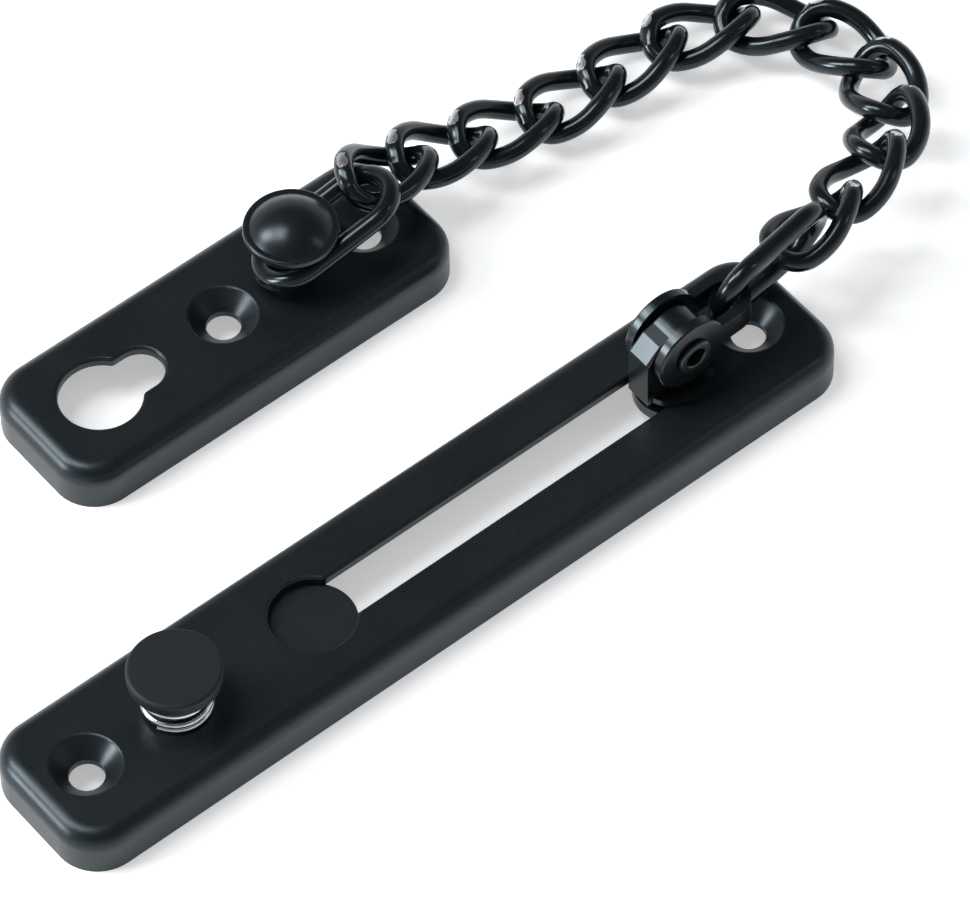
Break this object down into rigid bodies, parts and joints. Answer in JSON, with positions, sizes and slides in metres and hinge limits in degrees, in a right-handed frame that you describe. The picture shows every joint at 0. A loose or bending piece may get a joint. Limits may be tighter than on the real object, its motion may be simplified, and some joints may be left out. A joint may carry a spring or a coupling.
{
  "type": "door chain",
  "caption": "Door chain with a slotted track plate, press-button lock, sliding clevis, twisted curb chain and an anchor plate with a stud and parking keyhole.",
  "frame": {"origin": "middle of the track plate's two screw holes, on the plane of its back", "axes": "+X along the track plate towards the chain end, +Y across it towards the anchor plate, +Z out of the door"},
  "size_m": [0.1755, 0.0721, 0.0216],
  "materials": {
    "black_coating": "satin black coating",
    "bright_spring": "bright drawn wire"
  },
  "bodies": {
    "track": {"track_plate": "black_coating", "press_spring": "bright_spring"},
    "press": {"press_knob": "black_coating", "lock_leaf": "black_coating"},
    "slider": {"slider": "black_coating"},
    "strap": {"clevis_strap": "black_coating", "strap_rivet": "black_coating"},
    "slider_ring": {"slider_ring": "black_coating"},
    "link_12": {"link_12": "black_coating"},
    "link_11": {"link_11": "black_coating"},
    "link_10": {"link_10": "black_coating"},
    "link_09": {"link_09": "black_coating"},
    "link_08": {"link_08": "black_coating"},
    "link_07": {"link_07": "black_coating"},
    "link_06": {"link_06": "black_coating"},
    "link_05": {"link_05": "black_coating"},
    "link_04": {"link_04": "black_coating"},
    "link_03": {"link_03": "black_coating"},
    "link_02": {"link_02": "black_coating"},
    "link_01": {"link_01": "black_coating"},
    "anchor_ring": {"anchor_ring": "black_coating"},
    "anchor": {"anchor_plate": "black_coating", "anchor_stud": "black_coating"}
  },
  "joints": [
    {"name": "press", "type": "slide", "parent": "track", "child": "press", "axis": [0, 0, -1], "range_m": [0, 0.00245], "stiffness_N_per_m": 300, "springref_m": -0.002, "deforming": ["press_spring"]},
    {"name": "slider_slide", "type": "slide", "parent": "track", "child": "slider", "axis": [1, 0, 0], "range_m": [-0.0516, 0]},
    {"name": "strap_tip", "type": "hinge", "parent": "slider", "child": "strap", "pos_m": [0.0445, 0, 0.0152], "axis": [0, -1, 0], "range_deg": [0, 160]},
    {"name": "slider_ring_swing", "type": "hinge", "parent": "strap", "child": "slider_ring", "pos_m": [0.05272, 0, 0.01563], "axis": [0, 0, 1], "range_deg": [-30, 10]},
    {"name": "link_12_swing", "type": "hinge", "parent": "slider_ring", "child": "link_12", "pos_m": [0.06591, 0.00284, 0.01317], "axis": [-0.1736, 0.9848, 0], "range_deg": [-20, 25]},
    {"name": "link_11_swing", "type": "hinge", "parent": "link_12", "child": "link_11", "pos_m": [0.07918, 0.00503, 0.01274], "axis": [-0.2419, 0.9703, 0], "range_deg": [-18, 15]},
    {"name": "link_10_swing", "type": "hinge", "parent": "link_11", "child": "link_10", "pos_m": [0.09014, 0.00835, 0.01217], "axis": [-0.4807, 0.8769, 0], "range_deg": [-15, 3]},
    {"name": "link_09_swing", "type": "hinge", "parent": "link_10", "child": "link_09", "pos_m": [0.09847, 0.01529, 0.00835], "axis": [0.7947, -0.607, 0], "range_deg": [-15, 3]},
    {"name": "link_08_swing", "type": "hinge", "parent": "link_09", "child": "link_08", "pos_m": [0.10331, 0.02538, 0.00557], "axis": [0.9868, -0.1619, 0], "range_deg": [-15, 3]},
    {"name": "link_07_swing", "type": "hinge", "parent": "link_08", "child": "link_07", "pos_m": [0.10221, 0.03682, 0.0042], "axis": [-0.9131, -0.4078, 0], "range_deg": [-3, 9]},
    {"name": "link_06_swing", "type": "hinge", "parent": "link_07", "child": "link_06", "pos_m": [0.09439, 0.04536, 0.00433], "axis": [-0.5446, -0.8387, 0], "range_deg": [-12, 3]},
    {"name": "link_05_swing", "type": "hinge", "parent": "link_06", "child": "link_05", "pos_m": [0.08339, 0.04869, 0.00433], "axis": [0.165, 0.9863, 0], "range_deg": [-8, 12]},
    {"name": "link_04_swing", "type": "hinge", "parent": "link_05", "child": "link_04", "pos_m": [0.07196, 0.04857, 0.00429], "axis": [-0.0262, -0.9997, 0], "range_deg": [-7, 10]},
    {"name": "link_03_swing", "type": "hinge", "parent": "link_04", "child": "link_03", "pos_m": [0.06056, 0.04886, 0.0046], "axis": [0.0955, 0.9954, 0], "range_deg": [-15, 5]},
    {"name": "link_02_swing", "type": "hinge", "parent": "link_03", "child": "link_02", "pos_m": [0.04945, 0.05085, 0.00635], "axis": [-0.1055, -0.9944, 0], "range_deg": [-5, 20]},
    {"name": "link_01_swing", "type": "hinge", "parent": "link_02", "child": "link_01", "pos_m": [0.03863, 0.05151, 0.00992], "axis": [0.0502, -0.9987, 0], "range_deg": [-5, 15]},
    {"name": "anchor_ring_swing", "type": "hinge", "parent": "link_01", "child": "anchor_ring", "pos_m": [0.02874, 0.04803, 0.01556], "axis": [-0.1564, 0.9877, 0], "range_deg": [-4, 3]},
    {"name": "anchor_turn", "type": "hinge", "parent": "anchor_ring", "child": "anchor", "pos_m": [0.01512, 0.04806, 0.00715], "axis": [0, 0, 1], "range_deg": [-25, 30]}
  ]
}
